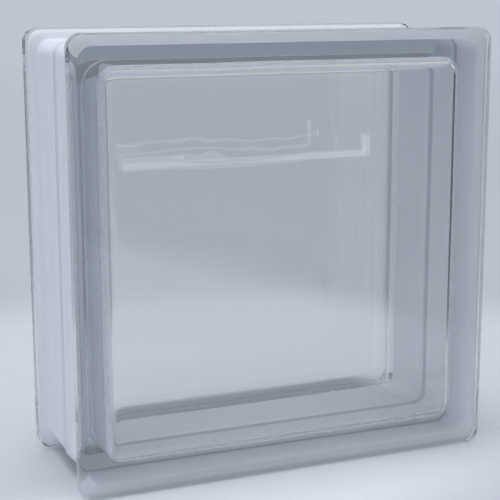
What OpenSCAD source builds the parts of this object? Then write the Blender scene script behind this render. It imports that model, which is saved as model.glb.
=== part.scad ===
// Pressed glass block for walls and partitions.
// Two pressed glass halves are fused rim to rim round a sealed hollow. The four mortar
// edges carry a white bonding coat; the two flanges and both faces are bare glass.
// The block stands on the rims of its flanges: +Z is up and the front face looks along -Y.

/* [Block] */
// Width and height of the square block
face_size = 190; // [140:1:300]
// Overall depth from face to face
block_depth = 80; // [60:1:100]
// Corner radius of the two faces
face_corner_r = 6; // [5:0.5:12]
// Rounding where each face turns into its rim
face_edge_r = 3; // [1:0.5:5]

/* [Flanges and mortar channel] */
// Thickness of each flange at its rim
flange_t = 8; // [6:0.5:11]
// Depth of the channel below the rims
channel_d = 5; // [3:0.25:7]
// Run of the sloping shoulder behind each flange
shoulder_run = 2.5; // [1.5:0.25:4]
// Radius where the shoulder meets the channel floor
shoulder_fillet_r = 1.5; // [0.5:0.25:2]
// Corner radius of the channel floor
channel_corner_r = 6; // [5:0.5:9]

/* [Fused seam] */
// Height of the seam ridge above the channel floor
ridge_h = 0.5; // [0.2:0.1:1.2]
// Full width of the seam ridge
ridge_w = 9; // [5:0.5:14]
// Width of each sloping flank of the ridge
ridge_flank = 2.5; // [1:0.25:2.5]
// Height of the weld bead inside the hollow
bead_h = 1; // [0.2:0.1:1.5]
// Full width of the weld bead
bead_w = 6; // [2:0.5:8]

/* [Hollow] */
// Thickness of each glass pane
pane_t = 8; // [6:0.5:11]
// Thickness of the side wall at the seam
wall_seam = 6.5; // [4:0.5:9]
// Thickness of the side wall where it meets a pane
wall_pane = 8.5; // [7:0.5:14]
// Corner radius of the hollow at the seam
hollow_corner_r = 9; // [9:0.5:16]
// Fillet between the pane and the side walls
hollow_fillet_r = 4.5; // [1:0.5:6]

/* [Edge coating] */
// Thickness of the white coat
coat_t = 0.3; // [0.2:0.05:0.5]
// Bare strip of shoulder between the rim and the coat
coat_margin = 0.75; // [0.5:0.25:2.5]

/* [Hidden] */
$fn = 64;
fillet_steps = 6;
half_size = face_size / 2;
half_depth = block_depth / 2;
shoulder_foot = flange_t + shoulder_run;
shoulder_len = norm([channel_d, shoulder_run]);
// Distance from the block's axis to the axis of each rounded corner
face_corner_at = half_size - face_corner_r;
channel_corner_at = half_size - channel_d - channel_corner_r;
hollow_corner_at = half_size - channel_d - wall_seam - hollow_corner_r;
pane_corner_r = hollow_corner_r - (wall_pane - wall_seam);
// The fillet stays a little smaller than the corner that it runs round
pane_fillet_r = min(hollow_fillet_r, pane_corner_r - 0.5);

// A section is drawn as [distance out from a corner's axis, distance in from the face].
// Each point of an outline may carry a third number, the radius that rounds it.
function unit(v) = v / norm(v);
function pt(p) = [p[0], p[1]];
function fillet_arc(a, b, c, r) =
    let (u = unit(pt(a) - pt(b)), v = unit(pt(c) - pt(b)))
    let (half_angle = acos(u * v) / 2)
    let (centre = pt(b) + unit(u + v) * r / sin(half_angle))
    let (from = pt(b) + u * r / tan(half_angle) - centre)
    let (side = sign(cross(u, v)))
    let (turn = side * (180 - 2 * half_angle))
    [for (i = [0:fillet_steps])
        let (t = -turn * i / fillet_steps)
        centre + [from[0] * cos(t) - from[1] * sin(t), from[0] * sin(t) + from[1] * cos(t)]];
function rounded(outline) =
    let (n = len(outline))
    [for (i = [0:n - 1])
        each (len(outline[i]) > 2 && i > 0 && i < n - 1
            ? fillet_arc(outline[i - 1], outline[i], outline[i + 1], outline[i][2])
            : [pt(outline[i])])];
function reversed(list) = [for (i = [len(list) - 1:-1:0]) list[i]];

// Outer line of one half behind its flange, a distance t off the glass:
// down the shoulder from a height of start above the channel floor, along the floor,
// up the ridge's flank and over its crest to the seam.
function shoulder_point(start, t) =
    [channel_corner_r + start, shoulder_foot - start * shoulder_run / channel_d]
        + t * [shoulder_run, channel_d] / shoulder_len;
function channel_line(start, t) = rounded([
    shoulder_point(start, t),
    [channel_corner_r + t, shoulder_foot + t * (shoulder_len - shoulder_run) / channel_d,
        shoulder_fillet_r],
    [channel_corner_r + t, half_depth - ridge_w / 2],
    [channel_corner_r + ridge_h + t, half_depth - ridge_w / 2 + ridge_flank],
    [channel_corner_r + ridge_h + t, half_depth]]);

// Carries a section round a square with rounded corners, whose axes lie at +-corner_at.
module around_square(corner_at) {
    for (quarter = [0:3])
        rotate(90 * quarter) translate([corner_at, corner_at, 0]) {
            rotate_extrude(angle = 90) children();
            rotate([90, 0, 0]) linear_extrude(2 * corner_at) children();
        }
}

// Fills the square inside those corners between two depths.
module square_core(corner_at, from, to) {
    translate([-corner_at, -corner_at, from])
        cube([2 * corner_at, 2 * corner_at, to - from]);
}

// Plain pressed block with rounded face edges, from the face to the seam.
module half_blank() {
    around_square(face_corner_at) union() {
        translate([0, face_edge_r])
            square([face_corner_r, half_depth - face_edge_r]);
        square([face_corner_r - face_edge_r, face_edge_r]);
        intersection() {
            translate([face_corner_r - face_edge_r, face_edge_r]) circle(face_edge_r);
            square([face_corner_r, half_depth]);
        }
    }
    square_core(face_corner_at, 0, half_depth);
}

// The form that leaves the flange standing: a cone behind the rim, then the channel floor.
module half_waist() {
    reach = channel_d * (1 + flange_t / shoulder_run);
    around_square(channel_corner_at)
        polygon(concat([[0, 0]], channel_line(reach, 0), [[0, half_depth]]));
    square_core(channel_corner_at, 0, half_depth);
}

// The hollow of one half: flat pane, fillet, drafted walls and half of the weld bead.
module half_hollow() {
    around_square(hollow_corner_at)
        polygon(rounded([
            [0, pane_t],
            [pane_corner_r, pane_t, pane_fillet_r],
            [hollow_corner_r, half_depth - bead_w / 2],
            [hollow_corner_r - bead_h, half_depth - bead_w / 4],
            [hollow_corner_r - bead_h, half_depth],
            [0, half_depth]]));
    square_core(hollow_corner_at, pane_t, half_depth);
}

module half_glass() {
    difference() {
        intersection() {
            half_blank();
            half_waist();
        }
        half_hollow();
    }
}

module half_coating() {
    start = channel_d - coat_margin;
    around_square(channel_corner_at)
        polygon(concat(channel_line(start, 0), reversed(channel_line(start, coat_t))));
}

// Stands a half on its rims with its face to the front, and adds the same half behind.
module both_halves() {
    for (back = [0, 1])
        mirror([0, back, 0])
            translate([0, -half_depth, half_size]) rotate([-90, 0, 0]) children();
}

module glass_body() {
    color([0.72, 0.80, 0.83, 0.45]) both_halves() half_glass();
}

module edge_coating() {
    color([0.90, 0.91, 0.93]) both_halves() half_coating();
}

glass_body();
edge_coating();
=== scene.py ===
import bpy
import numpy as np
from mathutils import Matrix, Vector


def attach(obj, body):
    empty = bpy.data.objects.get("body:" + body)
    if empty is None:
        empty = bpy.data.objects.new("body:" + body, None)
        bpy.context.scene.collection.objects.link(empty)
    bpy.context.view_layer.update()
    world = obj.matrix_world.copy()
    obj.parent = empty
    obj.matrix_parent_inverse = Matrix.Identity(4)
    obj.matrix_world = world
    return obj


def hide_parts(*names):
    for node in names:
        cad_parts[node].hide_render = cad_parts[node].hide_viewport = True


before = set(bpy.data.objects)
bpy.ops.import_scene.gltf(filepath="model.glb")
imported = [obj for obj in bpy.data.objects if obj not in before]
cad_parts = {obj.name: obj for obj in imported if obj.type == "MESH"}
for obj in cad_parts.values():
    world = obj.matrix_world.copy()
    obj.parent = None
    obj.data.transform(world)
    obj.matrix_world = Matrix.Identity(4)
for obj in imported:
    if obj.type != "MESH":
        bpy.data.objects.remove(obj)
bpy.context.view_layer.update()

# Camera: a product view of the block from its left front, a little above its middle.
# The place and the lens come from the vanishing lines of the block's two square faces.
CAMERA_AT = Vector((-0.22689, -0.52683, 0.20847))
CAMERA_RIGHT = Vector((0.92062, -0.39044, -0.00177))
CAMERA_UP = Vector((0.07976, 0.18363, 0.97975))
CAMERA_BACK = Vector((-0.38221, -0.90212, 0.20019))
LENS_MM = 93.748
SENSOR_MM = 36.0

camera_data = bpy.data.cameras.new("camera")
camera_data.lens = LENS_MM
camera_data.sensor_width = SENSOR_MM
camera = bpy.data.objects.new("camera", camera_data)
bpy.context.scene.collection.objects.link(camera)
turn = Matrix((CAMERA_RIGHT, CAMERA_UP, CAMERA_BACK)).transposed().to_4x4()
camera.matrix_world = Matrix.Translation(CAMERA_AT) @ turn
bpy.context.scene.camera = camera

# Light crosses many faces of glass before it leaves the block, so paths are long.
bpy.context.scene.cycles.max_bounces = 32
bpy.context.scene.cycles.transmission_bounces = 24
bpy.context.scene.cycles.glossy_bounces = 24
bpy.context.scene.cycles.diffuse_bounces = 8
bpy.context.scene.cycles.transparent_max_bounces = 24


# Glass body: two pressed halves of soda-lime glass, fused rim to rim round a sealed
# hollow. Each half is one pressing: pane, flange, shoulder and half of the side wall.
# The faces and rims are fire polished, and the hollow keeps the plunger's soft ripple.
# Sizes of the glass and of its coat are in millimetres.
MM = 0.001
HALF_DEPTH = 40.0
HALF_SIZE = 95.0
FACE_EDGE_R = 3.0
FACE_CORNER_R = 6.0
FLANGE_T = 8.0
RIM_EDGE_R = 0.8
SHOULDER_RUN = 2.5
CHANNEL_D = 5.0
CHANNEL_CORNER_R = 6.0
CHANNEL_FILLET_R = 1.5
RIDGE_H = 0.5
RIDGE_W = 9.0
RIDGE_FLANK = 2.5
PANE_T = 8.0
HOLLOW_HALF_PANE = 82.0
HOLLOW_HALF_SEAM = 83.5
HOLLOW_CORNER_R_PANE = 7.0
HOLLOW_CORNER_R_SEAM = 11.0
HOLLOW_FILLET_R = 6.3
BEAD_H = 1.0
BEAD_W = 3.8
PANE_RIPPLE = 0.025
FINE_RIPPLE = 0.05
FINE_SHARE_IN_FRONT = 0.08
WALL_RIPPLE = 0.08
CORNER_STEPS = 16
SIDE_STEPS = 64
ARC_STEPS = 8
LONGEST_STEP = 2.5
FACE_RINGS = 8
RIDGE_EDGE_R = 2.0
HOLLOW_ARC_STEPS = 32
LONGEST_HOLLOW_STEP = 1.5
PANE_RINGS = 24


def round_corners(points, radii, steps):
    """Each point of an outline with a radius becomes an arc that touches both lines.

    The arc's centre lies on the bisector, at radius over the sine of half the angle.
    """
    points = np.asarray(points, float)
    out = [points[:1]]
    for before, at, after, radius in zip(points, points[1:], points[2:], radii[1:]):
        if radius <= 0:
            out.append(at[None])
            continue
        u = (before - at) / np.linalg.norm(before - at)
        v = (after - at) / np.linalg.norm(after - at)
        half = np.arccos(np.clip(u @ v, -1, 1)) / 2
        centre = at + (u + v) / np.linalg.norm(u + v) * radius / np.sin(half)
        start = at + u * radius / np.tan(half) - centre
        swing = -np.sign(u[0] * v[1] - u[1] * v[0]) * (np.pi - 2 * half)
        a = np.linspace(0, swing, steps + 1)
        x = start[0] * np.cos(a) - start[1] * np.sin(a)
        y = start[0] * np.sin(a) + start[1] * np.cos(a)
        out.append(centre + np.stack([x, y], 1))
    out.append(points[-1:])
    return np.concatenate(out)


def split_long(points, longest):
    """Points are added evenly along each line until none is longer than the limit."""
    out = [points[:1]]
    for a, b in zip(points, points[1:]):
        n = max(1, int(np.ceil(np.linalg.norm(b[:2] - a[:2]) / longest)))
        t = np.arange(1, n + 1)[:, None] / n
        out.append(a + (b - a) * t)
    return np.concatenate(out)


def square_path():
    """Two weights for every point round a square with round corners.

    A point is (half size - radius) * corner + radius * direction. On a corner, corner
    stays and direction turns a quarter; along a side, direction stays and corner moves.
    """
    corners = np.array([(1, 1), (-1, 1), (-1, -1), (1, -1)], float)
    corner, direction = [], []
    for k in range(4):
        a = np.pi / 2 * (k + np.arange(CORNER_STEPS + 1) / CORNER_STEPS)
        corner.append(np.repeat(corners[k][None], len(a), 0))
        direction.append(np.stack([np.cos(a), np.sin(a)], 1))
        t = np.arange(1, SIDE_STEPS)[:, None] / SIDE_STEPS
        corner.append(corners[k] * (1 - t) + corners[(k + 1) % 4] * t)
        direction.append(np.repeat(direction[-1][-1][None], SIDE_STEPS - 1, 0))
    return np.concatenate(corner), np.concatenate(direction)


def carry_round(section):
    """A grid of points: each row (half size, corner radius, depth) goes round the square.

    Depth runs from the front face to the back, so it becomes Y from the front plane.
    """
    corner, direction = square_path()
    half, radius, depth = (section[:, i][:, None] for i in range(3))
    x = (half - radius) * corner[:, 0] + radius * direction[:, 0]
    z = (half - radius) * corner[:, 1] + radius * direction[:, 1]
    y = np.broadcast_to(depth - HALF_DEPTH, x.shape)
    return np.stack([x, y, z + HALF_SIZE], 2)


def flat_rings(half, radius, depth, count):
    """Rings of one outline, shrunk evenly and turning to a circle towards the middle."""
    k = np.arange(1, count) / count
    rounding = half * k * (1 - (1 - radius / half) * k)
    return np.stack([half * k, rounding, np.full_like(k, depth)], 1)


def mirrored(section):
    """The half section, then the same in reverse, reflected in the seam's plane."""
    back = section[::-1][1:].copy()
    back[:, 2] = 2 * HALF_DEPTH - back[:, 2]
    return np.concatenate([section, back])


def closed_faces(rows, columns, first):
    """Quads between rings, and a fan of triangles that closes each end on a pole."""
    i = np.arange(rows - 1)[:, None]
    j = np.arange(columns)[None]
    right = (j + 1) % columns
    quads = np.stack([i * columns + j, (i + 1) * columns + j,
                      (i + 1) * columns + right, i * columns + right], 2)
    j = np.arange(columns)
    right = (j + 1) % columns
    front = np.full(columns, rows * columns)
    last = (rows - 1) * columns
    start = np.stack([j, right, front], 1)
    end = np.stack([last + right, last + j, front + 1], 1)
    return quads.reshape(-1, 4) + first, np.concatenate([start, end]) + first


def mesh_object(name, shells, inward=()):
    """One mesh from several closed grids of points; those named inward face a hollow."""
    vertices, loops, sizes, first = [], [], [], 0
    for k, grid in enumerate(shells):
        rows, columns = grid.shape[:2]
        poles = np.stack([grid[0].mean(0), grid[-1].mean(0)])
        vertices.append(np.concatenate([grid.reshape(-1, 3), poles]))
        for faces in closed_faces(rows, columns, first):
            faces = faces[:, ::-1] if k in inward else faces
            loops.append(faces.reshape(-1))
            sizes.append(np.full(len(faces), faces.shape[1]))
        first += rows * columns + 2
    vertices = np.concatenate(vertices) * MM
    loops, sizes = np.concatenate(loops), np.concatenate(sizes)
    mesh = bpy.data.meshes.new(name)
    mesh.vertices.add(len(vertices))
    mesh.vertices.foreach_set("co", vertices.reshape(-1).astype(np.float32))
    mesh.loops.add(len(loops))
    mesh.loops.foreach_set("vertex_index", loops.astype(np.int32))
    mesh.polygons.add(len(sizes))
    starts = np.concatenate([[0], np.cumsum(sizes)[:-1]])
    mesh.polygons.foreach_set("loop_start", starts.astype(np.int32))
    mesh.polygons.foreach_set("use_smooth", np.ones(len(sizes), bool))
    mesh.update(calc_edges=True)
    mesh.validate()
    obj = bpy.data.objects.new(name, mesh)
    bpy.context.scene.collection.objects.link(obj)
    return obj


def outer_section():
    """Half of the glass's outside, from the middle of the face to the crest of the seam.

    The corner radius changes evenly from the face's to the channel's down the shoulder.
    """
    face_corner = HALF_SIZE - FACE_CORNER_R
    floor = HALF_SIZE - CHANNEL_D
    channel_corner = floor - CHANNEL_CORNER_R
    foot = FLANGE_T + SHOULDER_RUN
    ridge_at = HALF_DEPTH - RIDGE_W / 2
    outline = [(HALF_SIZE - 2 * FACE_EDGE_R, 0), (HALF_SIZE, 0), (HALF_SIZE, FLANGE_T),
               (floor, foot), (floor, ridge_at), (floor + RIDGE_H, ridge_at + RIDGE_FLANK),
               (floor + RIDGE_H, HALF_DEPTH)]
    radii = [0, FACE_EDGE_R, RIM_EDGE_R, CHANNEL_FILLET_R, RIDGE_EDGE_R, RIDGE_EDGE_R, 0]
    line = split_long(round_corners(outline, radii, ARC_STEPS), LONGEST_STEP)
    share = np.clip((HALF_SIZE - line[:, 0]) / CHANNEL_D, 0, 1) * (line[:, 1] > FLANGE_T / 2)
    corner = face_corner + (channel_corner - face_corner) * share
    edge = np.stack([line[:, 0], line[:, 0] - corner, line[:, 1]], 1)
    return np.concatenate([flat_rings(edge[0, 0], edge[0, 1], 0, FACE_RINGS), edge])


def hollow_section():
    """Half of the hollow, from the middle of the pane to the bead at the seam.

    The bead is a cosine bump. The corner radius grows evenly from pane to seam.
    """
    outline = [(0, PANE_T), (HOLLOW_HALF_PANE, PANE_T), (HOLLOW_HALF_SEAM, HALF_DEPTH)]
    line = round_corners(outline, [0, HOLLOW_FILLET_R, 0], HOLLOW_ARC_STEPS)[1:]
    line = split_long(line, LONGEST_HOLLOW_STEP)
    off = np.clip((HALF_DEPTH - line[:, 1]) / (BEAD_W / 2), 0, 1)
    line[:, 0] -= BEAD_H * (1 + np.cos(np.pi * off)) / 2
    pane_corner = HOLLOW_HALF_PANE - HOLLOW_CORNER_R_PANE
    seam_corner = HOLLOW_HALF_SEAM - HOLLOW_CORNER_R_SEAM
    share = (line[:, 1] - PANE_T) / (HALF_DEPTH - PANE_T)
    corner = pane_corner + (seam_corner - pane_corner) * share
    edge = np.stack([line[:, 0], line[:, 0] - corner, line[:, 1]], 1)
    return np.concatenate([flat_rings(edge[0, 0], edge[0, 1], PANE_T, PANE_RINGS), edge])


def rippled(grid, pane_amount, fine_amount, wall_amount):
    """Points moved along the surface's normal by a sum of slow waves of the position.

    The side walls move most. The panes, whose normal points along Y, move less. The back
    one carries a second, finer set of waves, of which the front one has only a trace.
    """
    across = np.roll(grid, -1, 1) - np.roll(grid, 1, 1)
    along = np.gradient(grid, axis=0)
    normal = np.cross(across, along)
    normal /= np.linalg.norm(normal, axis=2, keepdims=True)
    x, y, z = grid[..., 0], grid[..., 1], grid[..., 2]
    wave = (np.sin(x / 8.3 + 0.7 * np.sin(z / 17)) + np.sin(z / 9.1 + y / 9 + 1.3)
            + np.sin((x + z) / 13.7 + y / 7 + 2.1) + np.sin((x - z) / 19.3 + 0.4))
    fine = np.sin(x / 3.1 + 0.9 * np.sin(z / 11)) + np.sin(z / 2.7 + 0.8 * np.sin(x / 13))
    flat = normal[..., 1] ** 2
    move = (wall_amount + (pane_amount - wall_amount) * flat) * wave / 2
    fine_share = np.where(y > 0, 1.0, FINE_SHARE_IN_FRONT)
    return grid + normal * (move + fine_amount * fine_share * flat * fine / 2)[..., None]


def node(tree, kind, settings=None, **links):
    """Adds a shader node; settings fill its sockets or fields, links join its inputs.

    A link named _0 joins the first input, _1 the second, and so on.
    """
    made = tree.nodes.new(kind)
    for key, value in (settings or {}).items():
        if key in made.inputs:
            made.inputs[key].default_value = value
        else:
            setattr(made, key, value)
    for key, source in links.items():
        tree.links.new(source, made.inputs[int(key[1:]) if key[1:].isdigit() else key])
    return made


def srgb(text):
    """A hex colour as linear red, green, blue and one for alpha."""
    c = np.array([int(text[i:i + 2], 16) / 255 for i in (1, 3, 5)])
    linear = np.where(c <= 0.04045, c / 12.92, ((c + 0.055) / 1.055) ** 2.4)
    return (*linear.tolist(), 1.0)


def new_material(name):
    """An empty material with its node tree and output."""
    material = bpy.data.materials.new(name)
    material.use_nodes = True
    material.node_tree.nodes.clear()
    return material, material.node_tree


# Soda-lime glass, pressed and fire polished: mirror smooth, bends what lies behind it,
# and takes on a faint grey-blue where the eye looks through its edge.
glass, tree = new_material("soda_lime_glass")
polished = node(tree, "ShaderNodeBsdfPrincipled", {
    "Base Color": srgb("#ffffff"), "Roughness": 0.0, "IOR": 1.52,
    "Transmission Weight": 1.0})
# Soft light on the coat inside comes through the faces as if they were thin clear panes.
clear = node(tree, "ShaderNodeBsdfTransparent", {"Color": srgb("#ffffff")})
path = node(tree, "ShaderNodeLightPath")
scattered = node(tree, "ShaderNodeMixShader", None, _0=path.outputs["Is Diffuse Ray"],
                 _1=polished.outputs[0], _2=clear.outputs[0])
lit = node(tree, "ShaderNodeMixShader", None, _0=path.outputs["Is Shadow Ray"],
           _1=scattered.outputs[0], _2=clear.outputs[0])
tint = node(tree, "ShaderNodeVolumeAbsorption", {"Color": srgb("#e0e3e5"), "Density": 36.0})
node(tree, "ShaderNodeOutputMaterial", None, Surface=lit.outputs[0], Volume=tint.outputs[0])

glass_body = mesh_object("pressed_glass_block", [
    carry_round(mirrored(outer_section())),
    rippled(carry_round(mirrored(hollow_section())), PANE_RIPPLE, FINE_RIPPLE,
            WALL_RIPPLE)], inward=(1,))
glass_body.data.materials.append(glass)
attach(glass_body, "root")
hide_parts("glass_body")


# Edge coating: a thin white vinyl bonding coat, sprayed on the four mortar channels so
# that mortar grips the glass. It wets the glass, so it shows white through it as well,
# and it stops on the shoulders a little below the rims.
COAT_T = 0.3
COAT_MARGIN = 0.75
WETTING = 0.03
GRAIN_PER_M = 900.0
GRAIN_HEIGHT_M = 0.0002
GRAIN_STRENGTH = 0.25
SPRAY_BANDS_PER_M = (7.0, 320.0, 7.0)
SEAM_LINE_M = (0.0008, 0.0028)
LIGHT_THROUGH_COAT = 0.48


def coat_line(off):
    """The channel's line from shoulder to seam, moved off the glass by a distance.

    The foot of the shoulder moves along the bisector of its two sides, and the channel's
    floor and the low ridge move straight out.
    """
    floor = HALF_SIZE - CHANNEL_D
    foot = FLANGE_T + SHOULDER_RUN
    slope = np.hypot(CHANNEL_D, SHOULDER_RUN)
    ridge_at = HALF_DEPTH - RIDGE_W / 2
    start = np.array([HALF_SIZE - COAT_MARGIN, FLANGE_T + COAT_MARGIN * SHOULDER_RUN / CHANNEL_D])
    start = start + off * np.array([SHOULDER_RUN, CHANNEL_D]) / slope
    outline = [start, (floor + off, foot + off * (slope - SHOULDER_RUN) / CHANNEL_D),
               (floor + off, ridge_at), (floor + RIDGE_H + off, ridge_at + RIDGE_FLANK),
               (floor + RIDGE_H + off, HALF_DEPTH)]
    radii = [0, CHANNEL_FILLET_R, RIDGE_EDGE_R, RIDGE_EDGE_R, 0]
    line = split_long(round_corners(outline, radii, ARC_STEPS), LONGEST_STEP)
    face_corner = HALF_SIZE - FACE_CORNER_R
    channel_corner = floor - CHANNEL_CORNER_R
    share = np.clip((HALF_SIZE + off - line[:, 0]) / CHANNEL_D, 0, 1)
    corner = face_corner + (channel_corner - face_corner) * share
    return np.stack([line[:, 0], line[:, 0] - corner, line[:, 1]], 1)


def coat_grid():
    """The skin's closed section, out over the channel and back against the glass.

    The second result is 0 for a point on the open side and 1 for one against the glass.
    """
    outside = mirrored(coat_line(COAT_T))
    inside = mirrored(coat_line(-WETTING))
    grid = carry_round(np.concatenate([outside, inside[::-1]]))
    against = np.repeat([0.0, 1.0], [len(outside), len(inside)])
    return grid, np.repeat(against, grid.shape[1])


def ring_object(name, grid, against):
    """One mesh from a grid of points that closes on itself in both directions."""
    rows, columns = grid.shape[:2]
    i, j = np.arange(rows)[:, None], np.arange(columns)[None]
    below, right = (i + 1) % rows, (j + 1) % columns
    quads = np.stack([i * columns + j, below * columns + j,
                      below * columns + right, i * columns + right], 2).reshape(-1, 4)
    mesh = bpy.data.meshes.new(name)
    mesh.from_pydata((grid.reshape(-1, 3) * MM).tolist(), [], quads.tolist())
    mesh.polygons.foreach_set("use_smooth", np.ones(len(quads), bool))
    mesh.attributes.new("against_glass", "FLOAT", "POINT").data.foreach_set("value", against)
    mesh.update()
    obj = bpy.data.objects.new(name, mesh)
    bpy.context.scene.collection.objects.link(obj)
    return obj


# White vinyl bonding coat, sprayed: satin, with a grain of about a millimetre and bands
# about 3 mm wide along each channel, slightly greyer where it is thin.
coat, tree = new_material("white_vinyl_coat")
place = node(tree, "ShaderNodeTexCoord")
grain = node(tree, "ShaderNodeTexNoise",
             {"Scale": GRAIN_PER_M, "Detail": 3.0, "Roughness": 0.6},
             Vector=place.outputs["Object"])
passes = node(tree, "ShaderNodeMapping", {"Scale": SPRAY_BANDS_PER_M},
              Vector=place.outputs["Object"])
cloud = node(tree, "ShaderNodeTexNoise", {"Scale": 1.0, "Detail": 1.0},
             Vector=passes.outputs[0])
shade = node(tree, "ShaderNodeMix", {"data_type": "RGBA"}, _0=cloud.outputs["Fac"])
shade.inputs[6].default_value = srgb("#dfe1e8")
shade.inputs[7].default_value = srgb("#fbfcff")
relief = node(tree, "ShaderNodeBump", {"Distance": GRAIN_HEIGHT_M},
              Height=grain.outputs["Fac"])
paint = node(tree, "ShaderNodeBsdfPrincipled", {"Roughness": 0.55, "IOR": 1.46})
from_seam = node(tree, "ShaderNodeSeparateXYZ", None, _0=place.outputs["Object"])
off_seam = node(tree, "ShaderNodeMath", {"operation": "ABSOLUTE"}, _0=from_seam.outputs["Y"])
beyond_seam = node(tree, "ShaderNodeMapRange",
                   {"From Min": SEAM_LINE_M[0], "From Max": SEAM_LINE_M[1],
                    "interpolation_type": "SMOOTHSTEP"}, Value=off_seam.outputs[0])
# Against the glass the coat is smooth, and its colour there is made a little whiter: painted
# light, so that it shows brighter through the glass.
pressed = node(tree, "ShaderNodeAttribute", {"attribute_name": "against_glass"})
painted_light_inside = node(tree, "ShaderNodeMix", {"data_type": "RGBA", "blend_type": "SCREEN"},
             _0=pressed.outputs["Fac"], _6=shade.outputs[2])
painted_light_inside.inputs[7].default_value = srgb("#c9cacc")
# Along the seam the colour turns greyer in a narrow line, more so on the side against the glass.
seam_tone = node(tree, "ShaderNodeMix", {"data_type": "RGBA"}, _0=pressed.outputs["Fac"])
seam_tone.inputs[6].default_value = srgb("#e4e6ec")
seam_tone.inputs[7].default_value = srgb("#b9bcc3")
skin = node(tree, "ShaderNodeMix", {"data_type": "RGBA"}, _0=beyond_seam.outputs[0],
            _6=seam_tone.outputs[2], _7=painted_light_inside.outputs[2])
tree.links.new(skin.outputs[2], paint.inputs["Base Color"])
grainy = node(tree, "ShaderNodeMapRange", {"To Min": GRAIN_STRENGTH, "To Max": 0.0},
              Value=pressed.outputs["Fac"])
tree.links.new(grainy.outputs[0], relief.inputs["Strength"])
tree.links.new(relief.outputs[0], paint.inputs["Normal"])
# The skin is thin, so some of the light that falls on one side shows on the other.
glow = node(tree, "ShaderNodeBsdfTranslucent", {"Color": srgb("#fafbff")})
thin_skin = node(tree, "ShaderNodeMixShader", {"Fac": LIGHT_THROUGH_COAT},
                 _1=paint.outputs[0], _2=glow.outputs[0])
node(tree, "ShaderNodeOutputMaterial", None, Surface=thin_skin.outputs[0])

coating = ring_object("mortar_channel_coat", *coat_grid())
coating.data.materials.append(coat)
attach(coating, "root")
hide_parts("edge_coating")


# Stage: a pale floor that reaches the horizon. It is lightest in front of the block, where
# a pool of light is painted at its foot, and turns greyer to the sides, so that the clear
# edges of the glass show as darker lines. Under the block a soft shadow is painted.
NEAR_TONE = "#b8bbc1"
AHEAD_TONE = "#b1b5bb"
# The colour of the pool of light painted at the block's front foot.
FOOT_LIGHT_TONE = "#d3d6dc"
# The colour of the shadow painted under the block and a little behind it.
UNDER_SHADOW_TONE = "#8c9097"
SLANT_TONE = "#1e1f22"
BACK_TONE = "#a9adb4"
FRONT_TONE = "#858990"
MIRRORED_TONE = "#5a5d62"
ROOM_TONE = "#9aa1ac"
# Places and distances on the floor are in metres from the middle of the block's base.
POOL_START, POOL_END = 0.24, 0.36
RISE_START, RISE_END = 0.8, 3.5
RISE_GAIN = 1.13
SLANT_NORMAL = (0.939, -0.345, 0.0)
SLANT_FROM, SLANT_TO = 0.235, 0.33
SLANT_DARKEST = (0.28, 0.30)
FRONT_FROM, FRONT_TO = -0.06, -0.20
FOOT_STRETCH = (1.0, 2.5, 1.0)
FOOT_AT = (-0.02, -0.14, 0.0)
FOOT_FROM, FOOT_TO = 0.15, 0.05
UNDER_HALF_X, UNDER_HALF_Y = 0.088, 0.0475
UNDER_SHIFT = 0.305
UNDER_SOLID = 0.78
FLOOR_INNER_R = 0.05
FLOOR_R = 400.0
FLOOR_RINGS = 64
FLOOR_SPOKES = 96
SIGHT_LINE = (0.39, 0.92, 0.0)
SIGHT_WIDE, SIGHT_NARROW = 0.6, 0.93


def round_floor():
    """Rings of points at radii that grow by a constant ratio, joined to a middle point."""
    spokes = FLOOR_SPOKES
    radii = np.geomspace(FLOOR_INNER_R, FLOOR_R, FLOOR_RINGS)
    a = np.linspace(0, 2 * np.pi, spokes, endpoint=False)
    grid = np.stack([radii[:, None] * np.cos(a), radii[:, None] * np.sin(a),
                     np.zeros((len(radii), len(a)))], 2)
    i, j = np.arange(len(radii) - 1)[:, None], np.arange(spokes)[None]
    right = (j + 1) % spokes
    quads = np.stack([i * spokes + j, (i + 1) * spokes + j, (i + 1) * spokes + right,
                      i * spokes + right], 2).reshape(-1, 4)
    inner = np.arange(spokes)
    fan = np.stack([inner, (inner + 1) % spokes, np.full(spokes, len(radii) * spokes)], 1)
    points = np.concatenate([grid.reshape(-1, 3), np.zeros((1, 3))])
    mesh = bpy.data.meshes.new("pale_floor")
    mesh.from_pydata(points.tolist(), [], quads.tolist() + fan.tolist())
    obj = bpy.data.objects.new("pale_floor", mesh)
    bpy.context.scene.collection.objects.link(obj)
    return obj


def horizon_tone(tree, along, aside):
    """The far tone for a direction from the block, the same wherever the camera stands.

    Along is the cosine of the angle to the product view's line of sight. Near that line,
    behind the block, the tone is the back's, and away from it the other one.
    """
    share = node(tree, "ShaderNodeMapRange",
                 {"From Min": SIGHT_WIDE, "From Max": SIGHT_NARROW,
                  "interpolation_type": "SMOOTHSTEP"}, Value=along)
    tone = node(tree, "ShaderNodeMix", {"data_type": "RGBA"}, _0=share.outputs[0])
    tone.inputs[6].default_value = srgb(aside)
    tone.inputs[7].default_value = srgb(BACK_TONE)
    return tone.outputs[2]
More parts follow.
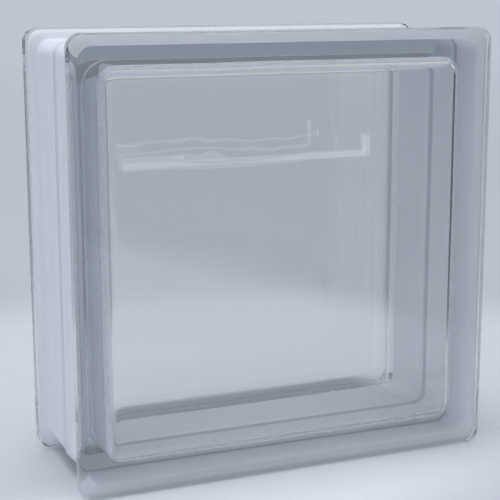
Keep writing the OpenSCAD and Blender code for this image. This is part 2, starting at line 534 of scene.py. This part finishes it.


# Painted board: matt, pale blue-grey, with the painted light and shadow described above.
board, tree = new_material("matt_painted_floor")
place = node(tree, "ShaderNodeTexCoord")
distance = node(tree, "ShaderNodeVectorMath", {"operation": "LENGTH"},
                _0=place.outputs["Object"])
bearing = node(tree, "ShaderNodeVectorMath", {"operation": "NORMALIZE"},
               _0=place.outputs["Object"])
along_sight = node(tree, "ShaderNodeVectorMath", {"operation": "DOT_PRODUCT"},
                   _0=bearing.outputs[0])
along_sight.inputs[1].default_value = SIGHT_LINE
pool = node(tree, "ShaderNodeMapRange", {"From Min": POOL_START, "From Max": POOL_END,
                                         "interpolation_type": "SMOOTHSTEP"},
            Value=distance.outputs["Value"])
around = node(tree, "ShaderNodeMix", {"data_type": "RGBA"}, _0=pool.outputs[0],
              _7=horizon_tone(tree, along_sight.outputs["Value"], FRONT_TONE))
around.inputs[6].default_value = srgb(NEAR_TONE)
rise = node(tree, "ShaderNodeMapRange", {"From Min": RISE_START, "From Max": RISE_END,
                                         "To Min": 1.0, "To Max": RISE_GAIN},
            Value=distance.outputs["Value"])
behind = node(tree, "ShaderNodeVectorMath", {"operation": "SCALE"}, _0=around.outputs[2],
              Scale=rise.outputs[0])

# In front of the block the floor is light up to a slanting line and dark beyond it, so
# that the panes mirror a darker floor above and a lighter one below.
floor_at = node(tree, "ShaderNodeSeparateXYZ", None, _0=place.outputs["Object"])
across_slant = node(tree, "ShaderNodeVectorMath", {"operation": "DOT_PRODUCT"},
                    _0=place.outputs["Object"])
across_slant.inputs[1].default_value = SLANT_NORMAL
ramp = node(tree, "ShaderNodeValToRGB", None, _0=across_slant.outputs["Value"])
stops = ramp.color_ramp.elements
stops[0].position, stops[0].color = SLANT_FROM, srgb(AHEAD_TONE)
stops[1].position, stops[1].color = SLANT_TO, srgb(MIRRORED_TONE)
for at in SLANT_DARKEST:
    stops.new(at).color = srgb(SLANT_TONE)
front_share = node(tree, "ShaderNodeMapRange", {"From Min": FRONT_FROM, "From Max": FRONT_TO,
                                                "interpolation_type": "SMOOTHSTEP"},
                   Value=floor_at.outputs["Y"])
round_block = node(tree, "ShaderNodeMix", {"data_type": "RGBA"}, _0=front_share.outputs[0],
                   _6=behind.outputs[0], _7=ramp.outputs[0])

# A pool of light is painted on the floor at the foot of the block, along its front.
along_front = node(tree, "ShaderNodeMapping", {"Scale": FOOT_STRETCH},
                   Vector=place.outputs["Object"])
from_foot = node(tree, "ShaderNodeVectorMath", {"operation": "DISTANCE"},
                 _0=along_front.outputs[0])
from_foot.inputs[1].default_value = FOOT_AT
foot_light_share = node(tree, "ShaderNodeMapRange", {"From Min": FOOT_FROM, "From Max": FOOT_TO,
                                             "interpolation_type": "SMOOTHSTEP"},
                Value=from_foot.outputs["Value"])
open_floor = node(tree, "ShaderNodeMix", {"data_type": "RGBA"}, _0=foot_light_share.outputs[0],
                  _6=round_block.outputs[2])
open_floor.inputs[7].default_value = srgb(FOOT_LIGHT_TONE)

# Under the block, and a little way behind it, a soft shadow is painted on the floor.
# Its place is the larger of two shares, of the half width and of the half depth of that patch.
under_block = node(tree, "ShaderNodeMapping",
                   {"Location": (0.0, -UNDER_SHIFT, 0.0),
                    "Scale": (1 / UNDER_HALF_X, 1 / UNDER_HALF_Y, 1.0)},
                   Vector=place.outputs["Object"])
either_side = node(tree, "ShaderNodeVectorMath", {"operation": "ABSOLUTE"},
                   _0=under_block.outputs[0])
shares = node(tree, "ShaderNodeSeparateXYZ", None, _0=either_side.outputs[0])
outermost = node(tree, "ShaderNodeMath", {"operation": "MAXIMUM"}, _0=shares.outputs["X"],
                 _1=shares.outputs["Y"])
shaded = node(tree, "ShaderNodeMapRange", {"From Min": 1.0, "From Max": UNDER_SOLID,
                                           "interpolation_type": "SMOOTHSTEP"},
              Value=outermost.outputs[0])
floor_colour = node(tree, "ShaderNodeMix", {"data_type": "RGBA"}, _0=shaded.outputs[0],
                    _6=open_floor.outputs[2])
floor_colour.inputs[7].default_value = srgb(UNDER_SHADOW_TONE)
matt = node(tree, "ShaderNodeBsdfDiffuse", None, Color=floor_colour.outputs[2])
node(tree, "ShaderNodeOutputMaterial", None, Surface=matt.outputs[0])
floor = round_floor()
floor.data.materials.append(board)


# Light: a pale room with a slightly cool light, brightest overhead, a soft box above the
# block, a wide one at its left, and low strips in front that the panes mirror.
ROOM_LIGHT = "#f6faff"
ROOM_FOCUS = 16.0
ROOM_HIGH = 6.3
ROOM_MIDDLE = 0.5
ROOM_LOW = 0.86
ROOM_DEPTH = 0.35
CEILING_TONE = "#f3f0ec"
CEILING_FROM, CEILING_TO = 0.3, 0.7
MIDDLE_Z = 0.6

world = bpy.data.worlds.new("room")
world.use_nodes = True
tree = world.node_tree
tree.nodes.clear()
place = node(tree, "ShaderNodeTexCoord")
outward = node(tree, "ShaderNodeSeparateXYZ", None, _0=place.outputs["Generated"])
overhead_share = node(tree, "ShaderNodeMath", {"operation": "POWER", "use_clamp": True},
                      _0=outward.outputs["Z"])
overhead_share.inputs[1].default_value = ROOM_FOCUS
by_height = node(tree, "ShaderNodeMapRange",
                 {"From Max": MIDDLE_Z, "To Min": ROOM_LOW, "To Max": ROOM_MIDDLE},
                 Value=outward.outputs["Z"])
level = node(tree, "ShaderNodeMath", {"operation": "MULTIPLY_ADD"},
             _0=overhead_share.outputs[0], _2=by_height.outputs[0])
level.inputs[1].default_value = ROOM_HIGH
front_to_back = node(tree, "ShaderNodeMapRange",
                     {"From Min": -1.0, "To Min": 1 - ROOM_DEPTH, "To Max": 1 + ROOM_DEPTH},
                     Value=outward.outputs["Y"])
strength = node(tree, "ShaderNodeMath", {"operation": "MULTIPLY"}, _0=level.outputs[0],
                _1=front_to_back.outputs[0])
walls = node(tree, "ShaderNodeBackground", {"Color": srgb(ROOM_LIGHT)},
             Strength=strength.outputs[0])
# What the glass shows of the room is plain: a ceiling above, and the floor's far tones.
sight = node(tree, "ShaderNodeVectorMath", {"operation": "DOT_PRODUCT"},
             _0=place.outputs["Generated"])
sight.inputs[1].default_value = SIGHT_LINE
upward = node(tree, "ShaderNodeMapRange", {"From Min": CEILING_FROM, "From Max": CEILING_TO},
              Value=outward.outputs["Z"])
seen_tone = node(tree, "ShaderNodeMix", {"data_type": "RGBA"}, _0=upward.outputs[0],
                 _6=horizon_tone(tree, sight.outputs["Value"], ROOM_TONE))
seen_tone.inputs[7].default_value = srgb(CEILING_TONE)
seen = node(tree, "ShaderNodeBackground", None, Color=seen_tone.outputs[2])
path = node(tree, "ShaderNodeLightPath")
mirrored_ray = node(tree, "ShaderNodeMath", {"operation": "ADD"},
                    _0=path.outputs["Is Glossy Ray"], _1=path.outputs["Is Transmission Ray"])
clear_ray = node(tree, "ShaderNodeMath", {"operation": "ADD", "use_clamp": True},
                 _0=path.outputs["Is Camera Ray"], _1=mirrored_ray.outputs[0])
both = node(tree, "ShaderNodeMixShader", None, _0=clear_ray.outputs[0],
            _1=walls.outputs[0], _2=seen.outputs[0])
node(tree, "ShaderNodeOutputWorld", None, Surface=both.outputs[0])
bpy.context.scene.world = world


def soft_box(name, at, towards, size, power, colour):
    """A rectangular area lamp at a point, turned to face another point."""
    lamp = bpy.data.lights.new(name, "AREA")
    lamp.shape = "RECTANGLE"
    lamp.size, lamp.size_y = size
    lamp.energy = power
    lamp.color = srgb(colour)[:3]
    obj = bpy.data.objects.new(name, lamp)
    bpy.context.scene.collection.objects.link(obj)
    obj.location = at
    obj.rotation_euler = (Vector(towards) - Vector(at)).to_track_quat("-Z", "Y").to_euler()
    return obj


BLOCK_MIDDLE = (0.0, 0.0, 0.1)
soft_box("overhead", (-0.15, -0.1, 1.5), BLOCK_MIDDLE, (0.24, 0.2), 1.6, ROOM_LIGHT)
soft_box("left_side", (-1.3, 0.15, 0.8), BLOCK_MIDDLE, (1.0, 0.8), 3.5, ROOM_LIGHT)

# Low strips of light on the floor in front, which the panes mirror as a pale line with an
# upright end. Each is a centre, a size in metres and a power in watts.
STRIP_Y = -0.97
STRIPS = {"front_strip": (0.375, 0.004, (0.32, 0.007), 0.011),
          "front_strip_left": (0.25, 0.007, (0.08, 0.014), 0.003),
          "front_strip_end": (0.53, 0.014, (0.009, 0.024), 0.0015)}
for name, (x, z, size, power) in STRIPS.items():
    soft_box(name, (x, STRIP_Y, z), (x, 0, z), size, power, ROOM_LIGHT)

bpy.context.scene.view_settings.view_transform = "Standard"
